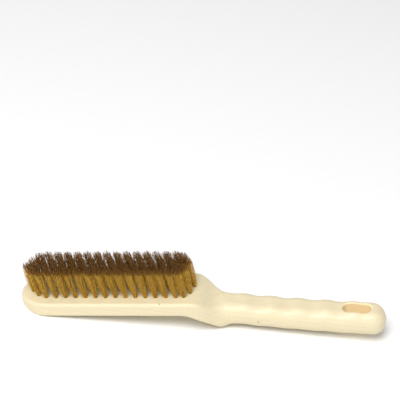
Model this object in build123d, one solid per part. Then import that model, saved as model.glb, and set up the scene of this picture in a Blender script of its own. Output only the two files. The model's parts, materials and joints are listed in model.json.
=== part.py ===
from build123d import *
from math import atan2, cos, degrees, exp, pi, radians, sin, sqrt
import os

# Hand wire brush: a one-piece beech body and four staggered rows of brass wire tufts.
#
# Head coordinates, used while the pieces are shaped (mm):
#   x  along the brush, 0 at the tip of the nose, the handle end at x = LENGTH
#   y  across the brush, 0 on the middle plane
#   z  0 on the bristle face of the head, + along the tufts
# The finished pieces are then laid down as the brush rests on a table, bristles up:
# nose and heel on z = 0, origin under the middle of the whole brush.

# ---- overall ----
LENGTH = 289.8

# ---- head, the flat paddle that carries the tufts ----
HEAD_WIDTH = 42.4
HEAD_THICK = 12.0
HEAD_EDGE = 2.5               # round-over on every long edge and around the nose
HEAD_STRAIGHT = 127.0         # the head keeps one section up to here
NOSE_LENGTH = 25.0            # half-oval end in plan
NOSE_RISE_LENGTH, NOSE_RISE = 20.0, 6.5   # the back sweeps up to the tip like a boat's bow

# ---- neck, where the body narrows and drops into the handle ----
NECK_START, NECK_END = 138.3, 171.3       # narrowing in plan
STEP_START, STEP_END = 137.8, 161.8       # drop of the bristle side
BACK_START, BACK_END = 127.5, 169.9       # drop of the back
HEEL_X, HEEL_REACH, HEEL_DEPTH = 161.2, 6.7, 4.5   # bump on the back behind the thumb

# ---- handle ----
HANDLE_START = 165.8
HANDLE_WIDTH = 25.4
HANDLE_THICK, END_THICK = 18.2, 21.0      # at its start and at the end
CENTRE_START, CENTRE_END = -19.1, -30.7   # height of its middle line
CENTRE_SAG = 1.3                          # the middle line bows down by this
CORNER_SHARE = 0.86                       # corner radius as a share of the half thickness
GRIP_FIRST, GRIP_PITCH, GRIP_RIDGES = 178.8, 21.5, 5
GRIP_HEIGHT = 1.7                         # finger groove, ridge to valley
END_ROUND = 12.0
END_FLAT = 0.10                           # share of the section left as a flat at the tip

# ---- hanging slot ----
SLOT_LENGTH, SLOT_WIDTH = 22.0, 10.6
SLOT_FROM_END = 23.4                      # handle end to slot middle
SLOT_EDGE = 1.3

# ---- tufts and their anchors ----
PITCH = 8.0
# Each row: y, x of its first tuft in line, tufts in line, tufts round the nose, tufts round the neck end.
ROWS = (
    (-11.1, 22.8, 14, [(16.0, -8.6)], [(133.1, -10.7)]),
    (-3.7, 18.8, 15, [(10.7, -2.9)], [(137.7, -5.6)]),
    (3.7, 22.8, 14, [(14.8, 3.7)], [(133.6, 3.7), (140.1, 2.9)]),
    (11.1, 26.8, 14, [(19.4, 9.6)], [(136.4, 9.3)]),
)
ROOT_RADIUS = 1.55
ROOT_RISE = 0.3                           # the root leaves the wood before it starts to fan out
TIP_RADIUS = 2.7
TRIM = 26.2                               # free length of the wires, measured square to the face
TIP_LEAN = 3.8                            # the tips lean this far towards the nose
FULL_LEAN_FROM = 22.7                     # tufts nearer the nose than this lean less
HOLE_DEPTH = 8.0
ANCHOR_LENGTH, ANCHOR_THICK, ANCHOR_HEIGHT = 4.3, 0.5, 2.0
ANCHOR_TURN = 28.4                        # the anchors stand at this angle to the grain
ANCHOR_FLOOR = 0.8                        # wire left between the anchor and the hole's bottom

STATION_PITCH = 2.5                       # spacing of the lofted sections


def ease(x, start, end):
    """Smooth step from 0 at start to 1 at end."""
    t = min(max((x - start) / (end - start), 0), 1)
    return t**3 * (10 - 15 * t + 6 * t * t)


def handle_share(x):
    """How far along the handle x is: 0 at its start, 1 at its end."""
    return min(max((x - HANDLE_START) / (LENGTH - HANDLE_START), 0), 1)


def handle_centre(x):
    s = handle_share(x)
    return CENTRE_START + (CENTRE_END - CENTRE_START) * s - 4 * CENTRE_SAG * s * (1 - s)


def handle_half_thick(x):
    return (HANDLE_THICK + (END_THICK - HANDLE_THICK) * handle_share(x)) / 2


def grip_wave(x):
    """Finger grooves on the bristle side, fading out before the first and after the last ridge."""
    last = GRIP_FIRST + GRIP_PITCH * (GRIP_RIDGES - 1)
    fade = ease(x, HANDLE_START, GRIP_FIRST) * (1 - ease(x, last, last + GRIP_PITCH / 2))
    return GRIP_HEIGHT / 2 * cos(2 * pi * (x - GRIP_FIRST) / GRIP_PITCH) * fade


def bristle_side(x):
    handle = handle_centre(x) + handle_half_thick(x) + grip_wave(x)
    return handle * ease(x, STEP_START, STEP_END)


def back_side(x):
    handle = handle_centre(x) - handle_half_thick(x)
    heel = HEEL_DEPTH * exp(-((x - HEEL_X) / HEEL_REACH) ** 2)
    return -HEAD_THICK + (handle + HEAD_THICK) * ease(x, BACK_START, BACK_END) - heel


def half_width(x):
    return (HEAD_WIDTH + (HANDLE_WIDTH - HEAD_WIDTH) * ease(x, NECK_START, NECK_END)) / 2


def end_scale(x):
    """Shrinks the sections towards the handle end so that it closes as a full, blunt round."""
    reach = max(x - (LENGTH - END_ROUND), 0) / END_ROUND
    return max(sqrt(max(1 - reach**2.4, 0)), END_FLAT)


def section(x):
    """Rounded rectangle across the body at x."""
    scale = end_scale(x)
    middle = (bristle_side(x) + back_side(x)) / 2
    half_thick = (bristle_side(x) - back_side(x)) / 2 * scale
    half_wide = half_width(x) * scale
    round_corner = CORNER_SHARE * min(half_thick, half_wide)
    blend = ease(x, NECK_START, NECK_END)
    corner = HEAD_EDGE + (round_corner - HEAD_EDGE) * blend
    plane = Plane(origin=(x, 0, middle), x_dir=(0, 1, 0), z_dir=(1, 0, 0))
    return plane * RectangleRounded(2 * half_wide, 2 * half_thick, corner)


def bow_cutter():
    """What is taken off under the nose: all that lies outside a quarter oval, seen from the side."""
    foot = (NOSE_RISE_LENGTH, -HEAD_THICK)
    brow = (0, -HEAD_THICK + NOSE_RISE)
    arc = EllipticalCenterArc(
        (NOSE_RISE_LENGTH, brow[1]), NOSE_RISE_LENGTH, NOSE_RISE, 180, arc_size=90
    )
    below = Polyline(foot, (NOSE_RISE_LENGTH, -2 * HEAD_THICK), (-1, -2 * HEAD_THICK), (-1, brow[1]), brow)
    profile = make_face([Plane.XZ * arc, Plane.XZ * below])
    return extrude(profile, amount=HEAD_WIDTH, both=True)


def head_blank():
    """Paddle with a half-oval nose, its edges rounded over."""
    half = HEAD_WIDTH / 2
    plan = make_face(
        [
            Line((HEAD_STRAIGHT, -half), (NOSE_LENGTH, -half)),
            EllipticalCenterArc((NOSE_LENGTH, 0), NOSE_LENGTH, half, 90, arc_size=180),
            Line((NOSE_LENGTH, half), (HEAD_STRAIGHT, half)),
            Line((HEAD_STRAIGHT, half), (HEAD_STRAIGHT, -half)),
        ]
    )
    slab = extrude(plan, amount=-HEAD_THICK) - bow_cutter()
    top = slab.faces().sort_by(Axis.Z)[-1]
    back_edges = []
    for face in slab.faces():
        if face.normal_at().Z < -0.5:
            back_edges += face.edges()
    rims = []
    for edge in list(top.edges()) + back_edges:
        across = edge.bounding_box().size.Y > HEAD_WIDTH - 10 and edge.geom_type == GeomType.LINE
        if not across:
            rims.append(edge)
    return fillet(rims, HEAD_EDGE)


def section_stations():
    """x of every lofted section: even steps, then closer and closer round the end."""
    dome_start = LENGTH - END_ROUND
    steps = round((dome_start - HEAD_STRAIGHT) / STATION_PITCH)
    even = [HEAD_STRAIGHT + (dome_start - HEAD_STRAIGHT) * i / steps for i in range(steps + 1)]
    dome = [dome_start + END_ROUND * sin(radians(angle)) for angle in (20, 38, 53, 65, 75, 83, 90)]
    return even + dome


def neck_and_handle():
    return loft([section(x) for x in section_stations()])


def slot_place():
    """Middle of the hanging slot, square to the handle's middle line there."""
    x = LENGTH - SLOT_FROM_END
    fall = handle_centre(x - 1) - handle_centre(x + 1)
    return Pos(x, 0, handle_centre(x)) * Rot(0, degrees(atan2(fall, 2)), 0)


def cut_slot(body):
    """Through slot in the handle, its rims on both sides rounded over."""
    outline = slot_place() * SlotOverall(SLOT_LENGTH, SLOT_WIDTH)
    cutter = extrude(outline, amount=END_THICK, both=True)
    opened = body - cutter
    reach = cutter.bounding_box()
    rims = []
    for edge in opened.edges():
        box = edge.bounding_box()
        inside = box.min.X > reach.min.X - 1 and box.max.X < reach.max.X + 1 and box.max.Y < SLOT_WIDTH
        if inside and box.size.Z < END_THICK / 2:
            rims.append(edge)
    return fillet(rims, SLOT_EDGE)


def tuft_points():
    """(station, x, y) of every tuft. A station holds one tuft of each row that reaches it."""
    points = []
    for y, first, count, nose, neck in ROWS:
        in_line = [(first + PITCH * i, y) for i in range(count)]
        for station, place in enumerate(nose + in_line + neck):
            points.append((station, *place))
    return points


def hole(x, y, rise=ROOT_RISE):
    """Drilled hole of one tuft, taken a little above the face so that it opens cleanly."""
    return Pos(x, y, -HOLE_DEPTH) * Cylinder(
        ROOT_RADIUS, HOLE_DEPTH + rise, align=(Align.CENTER, Align.CENTER, Align.MIN)
    )


def anchor(x, y):
    """Flat wire driven across the hole over the folded tuft, its ends biting into the wood."""
    bottom = -HOLE_DEPTH + ANCHOR_FLOOR
    return Pos(x, y, bottom) * Rot(0, 0, ANCHOR_TURN) * Box(
        ANCHOR_LENGTH, ANCHOR_THICK, ANCHOR_HEIGHT, align=(Align.CENTER, Align.CENTER, Align.MIN)
    )


def tip_lean(x):
    return TIP_LEAN * min(x / FULL_LEAN_FROM, 1)


def tuft(x, y):
    """Envelope of one bundle of wires: a root that fills its hole and a free end that fans out."""
    foot = Pos(x, y, ROOT_RISE) * Circle(ROOT_RADIUS)
    tip = Pos(x - tip_lean(x), y, TRIM) * Circle(TIP_RADIUS)
    return hole(x, y) + loft([foot, tip]) - anchor(x, y)


def wooden_body():
    """Head and handle in one piece, with the hanging slot, the drilled holes and the anchors' bites."""
    places = tuft_points()
    drilled = [hole(x, y) for _, x, y in places]
    bitten = [anchor(x, y) for _, x, y in places]
    return head_blank() + cut_slot(neck_and_handle()) - (drilled + bitten)


def bow(x):
    """Height of the head's back along the brush, where it sweeps up to the nose."""
    reach = max(NOSE_RISE_LENGTH - x, 0) / NOSE_RISE_LENGTH
    return -HEAD_THICK + NOSE_RISE * (1 - sqrt(1 - reach**2))


def lowest(profile, start, end, tilt):
    """Lowest level of a stretch of the back with the brush tilted nose down by tilt."""
    steps = 200
    places = [start + (end - start) * i / steps for i in range(steps + 1)]
    return min(x * sin(radians(tilt)) + profile(x) * cos(radians(tilt)) for x in places)


def rest_tilt():
    """Angle at which nose and heel stand on one level, found by halving."""
    low, high = 0.0, 20.0
    while high - low > 1e-4:
        middle = (low + high) / 2
        nose = lowest(bow, 0, NOSE_RISE_LENGTH, middle)
        heel = lowest(back_side, BACK_START, HANDLE_START, middle)
        if heel < nose:
            low = middle
        else:
            high = middle
    return low


def resting_place(body):
    """Move from head coordinates to the brush at rest, its box standing centred on the origin."""
    tilt = Rot(0, -rest_tilt(), 0)
    box = (tilt * body).bounding_box()
    return Pos(-(box.min.X + box.max.X) / 2, 0, -box.min.Z) * tilt


def main():
    os.makedirs("parts", exist_ok=True)
    body = wooden_body()
    rest = resting_place(body)
    export_step(rest * body, "parts/wooden_body.step")
    stations = {}
    for station, x, y in tuft_points():
        stations.setdefault(station, []).append((x, y))
    for station, places in sorted(stations.items()):
        tufts = Compound(children=[rest * tuft(x, y) for x, y in places])
        anchors = Compound(children=[rest * anchor(x, y) for x, y in places])
        export_step(tufts, f"parts/wire_tufts_{station + 1:02d}.step")
        export_step(anchors, f"parts/tuft_anchors_{station + 1:02d}.step")
    print("tilt", round(rest_tilt(), 4), "moved by", rest.position)


if __name__ == "__main__":
    main()
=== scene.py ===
import json
import math

import bpy
import numpy as np
from mathutils import Matrix, Vector


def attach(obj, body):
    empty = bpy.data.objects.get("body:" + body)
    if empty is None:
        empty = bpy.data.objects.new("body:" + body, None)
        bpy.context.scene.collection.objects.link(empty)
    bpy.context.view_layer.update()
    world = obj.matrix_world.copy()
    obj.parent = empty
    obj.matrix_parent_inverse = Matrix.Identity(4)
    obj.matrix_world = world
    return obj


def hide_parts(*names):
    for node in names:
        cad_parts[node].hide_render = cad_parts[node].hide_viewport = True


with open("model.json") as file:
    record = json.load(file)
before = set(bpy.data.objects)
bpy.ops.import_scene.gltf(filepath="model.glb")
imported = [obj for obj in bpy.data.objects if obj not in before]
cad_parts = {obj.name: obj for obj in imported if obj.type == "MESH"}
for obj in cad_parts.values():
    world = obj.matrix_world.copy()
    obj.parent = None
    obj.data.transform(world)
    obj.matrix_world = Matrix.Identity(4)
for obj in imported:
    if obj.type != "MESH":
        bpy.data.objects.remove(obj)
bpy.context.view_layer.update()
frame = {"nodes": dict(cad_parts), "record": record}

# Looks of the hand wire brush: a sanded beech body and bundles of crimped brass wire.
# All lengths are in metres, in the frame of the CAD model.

MM = 0.001

# ---- mounts of the record, and the head's directions from the one on its back ----
HANGING_SLOT = next(m for m in frame["record"]["mounts"] if m["name"] == "hanging_slot")
HEAD_BACK = next(m for m in frame["record"]["mounts"] if m["name"] == "head_back")
UP = -Vector(HEAD_BACK["axis"]).normalized()        # along the wires
ALONG = Vector((UP.z, 0, -UP.x))                    # along the head, towards the handle
ACROSS = Vector((0, 1, 0))
HEAD_AXES = np.array([ALONG, ACROSS, UP])           # rows: head directions in the frame

# ---- wires ----
WIRES = 72                      # ends in each tuft
WIRE_RADIUS = 0.145 * MM
WIRE_SIDES = 5
WIRE_STEPS = 40                 # segments along a wire
BURIED = 2.0 * MM               # how far down its hole a wire is modelled
CRIMP = 0.26 * MM               # amplitude
CRIMP_LENGTH = 4.4 * MM
CRIMP_VARIES = 0.08             # share by which the length differs from wire to wire
CRIMP_AT_ROOT = 0.15            # share of the crimp left inside the hole
CRIMP_GROWS = 4 * MM            # the crimp is full from this height on
FAN_LONG, FAN_SHORT = 4.8 * MM, 3.5 * MM      # half axes of a tuft's tips
FAN_TURN = math.radians(-61.6)  # the long axis, from ALONG, square to the anchors
FAN_CURVE = 0.75                # below 1 the wires spread at once and then run straighter
BOW = 0.75 * MM                 # how far a wire bows out at half height
SCATTER = 0.3 * MM              # how far a tip strays from its place
TRIMMED = 0.25 * MM             # the longest wires end this far inside the CAD tuft
UNEVEN = 0.6 * MM               # how much shorter than the longest a wire may be
CROSSING = 0.35                 # how far a wire's root strays from its tip's place, in root radii
STRAY_SHARE, STRAY = 0.02, 0.8 * MM   # a few wires lean out further than the rest, by this much
GOLDEN_ANGLE = math.pi * (3 - math.sqrt(5))

# ---- reading the CAD meshes ----
SAME_PLACE = 0.02 * MM          # corners nearer than this are one
FOOT_BAND = 0.5 * MM            # corners this near the face belong to a tuft's foot

# ---- wood ----
# painted light: the wall of the hanging slot gets a brighter, warmer colour that fades out over this band
# beyond its outline
SLOT_LIGHT_FROM, SLOT_LIGHT_TO = 0.1, 0.8   # mm beyond the slot's outline where its tint fades

# ---- camera ----
CAMERA_AT = Vector((0.0438, -0.6926, 0.5844))
AIM = Vector((-0.0067, 0, 0.1130))
CAMERA_ROLL = math.radians(3.452)
LENS, SENSOR = 101.2, 36        # mm

# ---- floor and light ----
FLOOR_REACH = 4.0               # from the middle to each side
SKY = 0.42
KEY_TURN, KEY_HEIGHT = math.radians(-18), math.radians(60)   # from the front, above the floor
KEY_DISTANCE, KEY_SIZE, KEY_POWER = 2.6, 1.6, 63.0


# ---------------------------------------------------------------- material helpers

def new_material(name):
    """An empty node tree with a Principled shader, returned as (material, tree, shader)."""
    material = bpy.data.materials.new(name)
    material.use_nodes = True
    tree = material.node_tree
    tree.nodes.clear()
    shader = tree.nodes.new("ShaderNodeBsdfPrincipled")
    output = tree.nodes.new("ShaderNodeOutputMaterial")
    tree.links.new(shader.outputs["BSDF"], output.inputs["Surface"])
    return material, tree, shader


def add(tree, kind, links=None, values=None, **settings):
    """A node with its settings, links into it by input name, and values of unlinked inputs."""
    node = tree.nodes.new("ShaderNode" + kind)
    for name, value in settings.items():
        setattr(node, name, value)
    for name, value in (values or {}).items():
        node.inputs[name].default_value = value
    for name, socket in (links or {}).items():
        tree.links.new(socket, node.inputs[name])
    return node


def stretched(tree, cell, shift=(0, 0, 0)):
    """Object coordinates in cells of the given size in mm, so that a pattern of size 1 fits one cell."""
    place = add(tree, "TexCoord")
    scale = [1 / (side * MM) for side in cell]
    mapped = add(
        tree, "Mapping", {"Vector": place.outputs["Object"]}, {"Scale": scale, "Location": shift}
    )
    return mapped.outputs["Vector"]


def noise(tree, cell, detail=2.0, roughness=0.5, shift=(0, 0, 0)):
    links = {"Vector": stretched(tree, cell, shift)}
    values = {"Scale": 1.0, "Detail": detail, "Roughness": roughness}
    return add(tree, "TexNoise", links, values).outputs["Fac"]


def remap(tree, socket, low, high, to_low=0.0, to_high=1.0):
    """Smooth step of a socket from one range to another."""
    values = {"From Min": low, "From Max": high, "To Min": to_low, "To Max": to_high}
    node = add(tree, "MapRange", {"Value": socket}, values, interpolation_type="SMOOTHSTEP")
    return node.outputs["Result"]


def math_node(tree, operation, first, second):
    """A two-input Math node; either input may be a socket or a number."""
    node = tree.nodes.new("ShaderNodeMath")
    node.operation = operation
    for index, value in enumerate((first, second)):
        if isinstance(value, (int, float)):
            node.inputs[index].default_value = value
        else:
            tree.links.new(value, node.inputs[index])
    return node.outputs[0]


def tint(tree, share, base, colour):
    """Mix a colour, given as RGB or a socket, over another by a share socket."""
    node = tree.nodes.new("ShaderNodeMix")
    node.data_type = "RGBA"
    tree.links.new(share, node.inputs[0])
    for index, value in ((6, base), (7, colour)):
        if isinstance(value, tuple):
            node.inputs[index].default_value = (*value, 1)
        else:
            tree.links.new(value, node.inputs[index])
    return node.outputs[2]


def bump(tree, height, distance, strength):
    links = {"Height": height}
    values = {"Distance": distance, "Strength": strength}
    return add(tree, "Bump", links, values).outputs["Normal"]


# ---------------------------------------------------------------- wood

def annual_bands(tree):
    """Growth rings round a pith far below the back, wavy along the board: 0 in early, 1 in late wood."""
    centred = stretched(tree, (400, 3.1, 3.1), (0, 9.0, 41.0))
    length = add(tree, "VectorMath", {0: centred}, operation="LENGTH").outputs["Value"]
    sway = noise(tree, (90, 26, 26), 2.0)
    rings = math_node(tree, "MULTIPLY_ADD", sway, 3.4)
    tree.links.new(length, rings.node.inputs[2])
    turn = math_node(tree, "FRACT", rings, 0.0)
    rise = remap(tree, turn, 0.25, 0.93)
    fall = remap(tree, turn, 0.93, 1.0, 1.0, 0.0)
    return math_node(tree, "MULTIPLY", rise, fall)


def ray_flecks(tree):
    """Medullary rays of beech: short dashes on the faces they run into, broad silky flakes beside them."""
    place = stretched(tree, (2.3, 0.42, 4.2))
    cells = add(tree, "TexVoronoi", {"Vector": place}, {"Scale": 1.0, "Randomness": 1.0})
    dash = remap(tree, cells.outputs["Distance"], 0.34, 0.16)
    pick = add(tree, "SeparateColor", {"Color": cells.outputs["Color"]}).outputs["Red"]
    chosen = remap(tree, pick, 0.45, 0.6)
    return math_node(tree, "MULTIPLY", dash, chosen)


def pin_specks(tree):
    """A few small dark pin knots and pores."""
    place = stretched(tree, (17, 9, 9), (0.3, 0.1, 0.4))
    cells = add(tree, "TexVoronoi", {"Vector": place}, {"Scale": 1.0, "Randomness": 1.0})
    dot = remap(tree, cells.outputs["Distance"], 0.075, 0.03)
    pick = add(tree, "SeparateColor", {"Color": cells.outputs["Color"]}).outputs["Green"]
    chosen = remap(tree, pick, 0.6, 0.65)
    return math_node(tree, "MULTIPLY", dot, chosen)


def slot_painted_light(tree):
    """Mask for painted light in the hanging slot: 1 on its wall, 0 on the rest of the wood."""
    radius = HANGING_SLOT["dims"]["hole_r_mm"]
    straight = HANGING_SLOT["dims"]["slot_length_mm"] / 2 - radius
    shift = [-side / MM for side in HANGING_SLOT["pos_m"]]
    place = add(tree, "SeparateXYZ", {"Vector": stretched(tree, (1, 1, 1), shift)})
    beyond = math_node(tree, "SUBTRACT", math_node(tree, "ABSOLUTE", place.outputs["X"], 0.0), straight)
    links = {"X": math_node(tree, "MAXIMUM", beyond, 0.0), "Y": place.outputs["Y"]}
    across = add(tree, "CombineXYZ", links).outputs["Vector"]
    distance = add(tree, "VectorMath", {0: across}, operation="LENGTH").outputs["Value"]
    return remap(tree, distance, radius + SLOT_LIGHT_FROM, radius + SLOT_LIGHT_TO, 1.0, 0.0)


def beech():
    """Pale sanded beech, unvarnished, its grain along the brush."""
    material, tree, shader = new_material("beech")
    cloud = noise(tree, (70, 14, 14), 3.0)
    fibre = noise(tree, (16, 0.55, 0.55), 3.0, 0.6)
    pores = noise(tree, (2.6, 0.2, 0.2), 2.0, 0.5)
    pore = remap(tree, pores, 0.36, 0.27)
    bands = annual_bands(tree)
    flecks = ray_flecks(tree)
    specks = pin_specks(tree)

    colour = tint(tree, cloud, (0.81, 0.715, 0.475), (0.78, 0.695, 0.48))
    colour = tint(tree, remap(tree, fibre, 0.3, 0.7, 0.0, 0.5), colour, (0.76, 0.65, 0.41))
    colour = tint(tree, math_node(tree, "MULTIPLY", bands, 0.18), colour, (0.70, 0.56, 0.33))
    colour = tint(tree, math_node(tree, "MULTIPLY", flecks, 0.22), colour, (0.62, 0.44, 0.25))
    colour = tint(tree, math_node(tree, "MULTIPLY", pore, 0.35), colour, (0.52, 0.36, 0.20))
    colour = tint(tree, math_node(tree, "MULTIPLY", specks, 0.75), colour, (0.20, 0.12, 0.06))
    # painted light: the slot's wall is brightened and warmed, standing in for light bouncing inside the slot
    colour = tint(tree, slot_painted_light(tree), colour, (0.94, 0.77, 0.46))
    tree.links.new(colour, shader.inputs["Base Color"])

    tree.links.new(remap(tree, fibre, 0.25, 0.75, 0.36, 0.52), shader.inputs["Roughness"])
    low = math_node(tree, "ADD", math_node(tree, "MULTIPLY", pore, -0.8), fibre)
    height = math_node(tree, "ADD", low, math_node(tree, "MULTIPLY", specks, -1.5))
    tree.links.new(bump(tree, height, 0.06 * MM, 0.5), shader.inputs["Normal"])
    return material


# ---------------------------------------------------------------- wire materials

def attribute(tree, name):
    return add(tree, "Attribute", attribute_name=name).outputs["Fac"]


def brass_wire():
    """Dull drawn brass: golden towards the wood, darker brown towards the tips, partly tarnish and partly
    painted shade of the gaps between the wires.
    """
    material, tree, shader = new_material("brass_wire")
    tone = attribute(tree, "tone")
    along = attribute(tree, "along")
    mottle = noise(tree, (1.1, 1.1, 1.6), 3.0, 0.6)
    colour = tint(tree, tone, (0.60, 0.37, 0.055), (0.92, 0.63, 0.13))
    colour = tint(tree, remap(tree, mottle, 0.42, 0.66, 0.0, 0.6), colour, (0.42, 0.235, 0.05))
    # painted shade with some tarnish: the last part of each wire turns dark brown, standing in for the shade
    # deep between the wires near the tips
    tip_shade_and_tarnish = remap(tree, along, 0.84, 0.97)
    colour = tint(tree, math_node(tree, "MULTIPLY", tip_shade_and_tarnish, 0.9), colour, (0.20, 0.072, 0.017))
    tree.links.new(colour, shader.inputs["Base Color"])
    tree.links.new(remap(tree, tip_shade_and_tarnish, 0.0, 1.0, 1.0, 0.9), shader.inputs["Metallic"])
    tree.links.new(remap(tree, mottle, 0.35, 0.7, 0.34, 0.56), shader.inputs["Roughness"])
    return material


def cut_brass():
    """Freshly cut wire ends, brighter and scored by the shear."""
    material, tree, shader = new_material("cut_wire_end")
    scores = noise(tree, (0.05, 0.3, 0.3), 1.0)
    colour = tint(tree, scores, (0.34, 0.20, 0.08), (0.70, 0.50, 0.26))
    tree.links.new(colour, shader.inputs["Base Color"])
    shader.inputs["Metallic"].default_value = 0.8
    tree.links.new(remap(tree, scores, 0.3, 0.7, 0.3, 0.5), shader.inputs["Roughness"])
    return material


def anchor_steel():
    """Flat drawn steel wire with lengthwise die lines."""
    material, tree, shader = new_material("anchor_steel")
    lines = noise(tree, (0.12, 6, 0.12), 2.0)
    colour = tint(tree, lines, (0.36, 0.35, 0.34), (0.60, 0.59, 0.57))
    tree.links.new(colour, shader.inputs["Base Color"])
    shader.inputs["Metallic"].default_value = 1.0
    tree.links.new(remap(tree, lines, 0.3, 0.7, 0.28, 0.45), shader.inputs["Roughness"])
    tree.links.new(bump(tree, lines, 0.01 * MM, 0.4), shader.inputs["Normal"])
    return material


# ---------------------------------------------------------------- wires

def islands(mesh):
    """The separate solids of a mesh, each as an array of its corner positions, in order across the brush."""
    places = np.array([v.co for v in mesh.vertices])
    keys = [tuple(p) for p in np.round(places / SAME_PLACE).astype(int)]
    parent = {key: key for key in keys}

    def root(key):
        while parent[key] != key:
            parent[key] = parent[parent[key]]
            key = parent[key]
        return key

    for edge in mesh.edges:
        first, second = (root(keys[i]) for i in edge.vertices)
        parent[first] = second
    groups = {}
    for key, place in zip(keys, places):
        groups.setdefault(root(key), []).append(place)
    return sorted((np.array(g) for g in groups.values()), key=lambda g: g[:, 1].mean())


def middle(points):
    return (points.min(0) + points.max(0)) / 2


def face_level():
    """Height of the bristle face, the highest part of the body in head directions."""
    return max(UP.dot(v.co) for v in frame["nodes"]["wooden_body"].data.vertices)


def tuft_frame(corners, face):
    """Foot centre, foot radius and tip centre of one CAD tuft, in head directions."""
    head = corners @ HEAD_AXES.T
    foot = head[np.abs(head[:, 2] - face) < FOOT_BAND]
    tip = head[head[:, 2] > head[:, 2].max() - SAME_PLACE]
    centre = middle(foot)
    centre[2] = face
    return centre, np.ptp(foot[:, 1]) / 2, middle(tip)


def wire_lines(foot, foot_radius, tip, random):
    """Centre lines of one tuft's wires in head directions, as wires x points x 3, and the heights."""
    index = np.arange(WIRES)
    share = np.sqrt((index + 0.5) / WIRES)
    angle = index * GOLDEN_ANGLE + random.uniform(0, 2 * math.pi)
    circle = np.stack([np.cos(angle), np.sin(angle)], 1) * share[:, None]
    mixed = circle + random.normal(0, CROSSING, (WIRES, 2))
    mixed /= np.maximum(np.linalg.norm(mixed, axis=1), 1)[:, None]
    root = mixed * (foot_radius - WIRE_RADIUS)
    turned = np.array(
        [[math.cos(FAN_TURN), math.sin(FAN_TURN)], [-math.sin(FAN_TURN), math.cos(FAN_TURN)]]
    )
    fan = (circle @ turned.T) * (FAN_LONG, FAN_SHORT) @ turned
    fan += random.normal(0, SCATTER, (WIRES, 2))
    stray = random.random(WIRES) < STRAY_SHARE
    fan[stray] *= 1 + STRAY / FAN_LONG

    full = tip[2] - foot[2]
    free = full - TRIMMED - random.uniform(0, 1, WIRES) ** 2 * UNEVEN
    steps = np.linspace(0, 1, WIRE_STEPS + 1)
    height = -BURIED + steps * (free + BURIED)[:, None]
    rise = np.maximum(height, 0) / full
    spread = rise[..., None] ** FAN_CURVE
    lean = rise[..., None] * (tip - foot)[:2]
    bow = random.normal(0, BOW, (WIRES, 2))[:, None] * np.sin(math.pi * rise)[..., None]
    flat = root[:, None] + (fan - root)[:, None] * spread + lean + bow

    plane = random.uniform(0, math.pi, WIRES)
    phase = random.uniform(0, 2 * math.pi, WIRES)
    wave_length = CRIMP_LENGTH * random.uniform(1 - CRIMP_VARIES, 1 + CRIMP_VARIES, WIRES)
    wave = np.sin(height * (2 * math.pi / wave_length)[:, None] + phase[:, None])
    fade = np.clip(height / CRIMP_GROWS, CRIMP_AT_ROOT, 1)
    side = np.stack([np.cos(plane), np.sin(plane)], 1)[:, None]
    flat = flat + (CRIMP * wave * fade)[..., None] * side
    lines = np.concatenate([foot[:2] + flat, (foot[2] + height)[..., None]], 2)
    return lines, np.clip(height / full, 0, 1)


def rings_round(lines):
    """Corners of the wire sections: wires x points x sides x 3, square to each centre line."""
    run = np.gradient(lines, axis=1)
    run /= np.linalg.norm(run, axis=2, keepdims=True)
    first = np.cross(run, (0, 1, 0))
    first /= np.linalg.norm(first, axis=2, keepdims=True)
    second = np.cross(run, first)
    turn = np.arange(WIRE_SIDES) * 2 * math.pi / WIRE_SIDES
    around = np.cos(turn)[:, None] * first[:, :, None] + np.sin(turn)[:, None] * second[:, :, None]
    return lines[:, :, None] + WIRE_RADIUS * around


def wire_faces(wires):
    """Side quads of all wires, then a cap at each end of each wire."""
    points = WIRE_STEPS + 1
    corner = np.arange(wires * points * WIRE_SIDES).reshape(wires, points, WIRE_SIDES)
    beside = np.roll(corner, -1, axis=2)
    quads = np.stack([corner[:, :-1], beside[:, :-1], beside[:, 1:], corner[:, 1:]], 3)
    sides = quads.reshape(-1, 4).tolist()
    caps = corner[:, 0, ::-1].tolist() + corner[:, -1].tolist()
    return sides, caps


def float_attribute(mesh, name, values):
    layer = mesh.attributes.new(name, "FLOAT", "POINT")
    layer.data.foreach_set("value", np.asarray(values, np.float32).ravel())


def wire_bundle(node, face, random, materials):
    """One piece that stands for a station's CAD tufts: all their wires."""
    lines, along = [], []
    for corners in islands(frame["nodes"][node].data):
        tuft_lines, tuft_along = wire_lines(*tuft_frame(corners, face), random)
        lines.append(tuft_lines)
        along.append(tuft_along)
    lines, along = np.concatenate(lines), np.concatenate(along)
    corners = rings_round(lines) @ HEAD_AXES
    sides, caps = wire_faces(len(lines))
    mesh = bpy.data.meshes.new(node + "_wires")
    mesh.from_pydata(corners.reshape(-1, 3), [], sides + caps)
    tone = random.random(len(lines))[:, None, None]
    float_attribute(mesh, "tone", np.broadcast_to(tone, corners.shape[:3]))
    float_attribute(mesh, "along", np.broadcast_to(along[..., None], corners.shape[:3]))
    is_cap = np.arange(len(sides) + len(caps)) >= len(sides)
    mesh.polygons.foreach_set("use_smooth", ~is_cap)
    mesh.polygons.foreach_set("material_index", is_cap.astype(np.int32))
    for material in materials:
        mesh.materials.append(material)
    piece = bpy.data.objects.new(node + "_wires", mesh)
    bpy.context.scene.collection.objects.link(piece)
    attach(piece, "root")
    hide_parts(node)
    return piece


# ---------------------------------------------------------------- stage, light, camera

def paper_white():
    material, tree, shader = new_material("white_paper")
    fibre = noise(tree, (9, 9, 9), 2.0)
    colour = tint(tree, fibre, (0.92, 0.92, 0.92), (0.94, 0.94, 0.94))
    tree.links.new(colour, shader.inputs["Base Color"])
    shader.inputs["Roughness"].default_value = 0.9
    shader.inputs["Specular IOR Level"].default_value = 0.2
    return material


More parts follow.
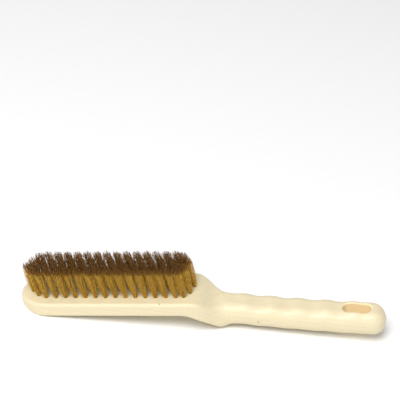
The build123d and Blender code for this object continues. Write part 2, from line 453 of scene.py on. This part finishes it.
def floor():
    far = FLOOR_REACH
    corners = [(-far, -far, 0), (far, -far, 0), (far, far, 0), (-far, far, 0)]
    mesh = bpy.data.meshes.new("floor")
    mesh.from_pydata(corners, [], [(0, 1, 2, 3)])
    mesh.materials.append(paper_white())
    ground = bpy.data.objects.new("floor", mesh)
    bpy.context.scene.collection.objects.link(ground)


def sky():
    world = bpy.data.worlds.new("studio")
    world.use_nodes = True
    background = world.node_tree.nodes["Background"]
    background.inputs["Color"].default_value = (1, 1, 1, 1)
    background.inputs["Strength"].default_value = SKY
    bpy.context.scene.world = world


def key_light():
    light = bpy.data.lights.new("key", "AREA")
    light.shape = "DISK"
    light.size = KEY_SIZE
    light.energy = KEY_POWER
    lamp = bpy.data.objects.new("key", light)
    bpy.context.scene.collection.objects.link(lamp)
    out = math.cos(KEY_HEIGHT) * KEY_DISTANCE
    high = math.sin(KEY_HEIGHT) * KEY_DISTANCE
    lamp.location = (math.sin(KEY_TURN) * out, -math.cos(KEY_TURN) * out, high)
    lamp.rotation_euler = (-lamp.location).to_track_quat("-Z", "Y").to_euler()


def camera():
    data = bpy.data.cameras.new("camera")
    data.lens = LENS
    data.sensor_width = SENSOR
    eye = bpy.data.objects.new("camera", data)
    bpy.context.scene.collection.objects.link(eye)
    look = (AIM - CAMERA_AT).to_track_quat("-Z", "Y").to_matrix()
    turn = look @ Matrix.Rotation(CAMERA_ROLL, 3, "Z")
    eye.matrix_world = Matrix.Translation(CAMERA_AT) @ turn.to_4x4()
    bpy.context.scene.camera = eye


# ---------------------------------------------------------------- the brush

def dress_node(node, material):
    """Give a CAD node its material; its shape stays."""
    shown = frame["nodes"][node]
    shown.data.materials.clear()
    shown.data.materials.append(material)


def main():
    dress_node("wooden_body", beech())
    steel = anchor_steel()
    wire_materials = (brass_wire(), cut_brass())
    random = np.random.default_rng(7)
    face = face_level()
    for node in sorted(frame["nodes"]):
        if node.startswith("tuft_anchors"):
            dress_node(node, steel)
        if node.startswith("wire_tufts"):
            wire_bundle(node, face, random, wire_materials)
    floor()
    sky()
    key_light()
    camera()
    bpy.context.scene.view_settings.view_transform = "Standard"


main()
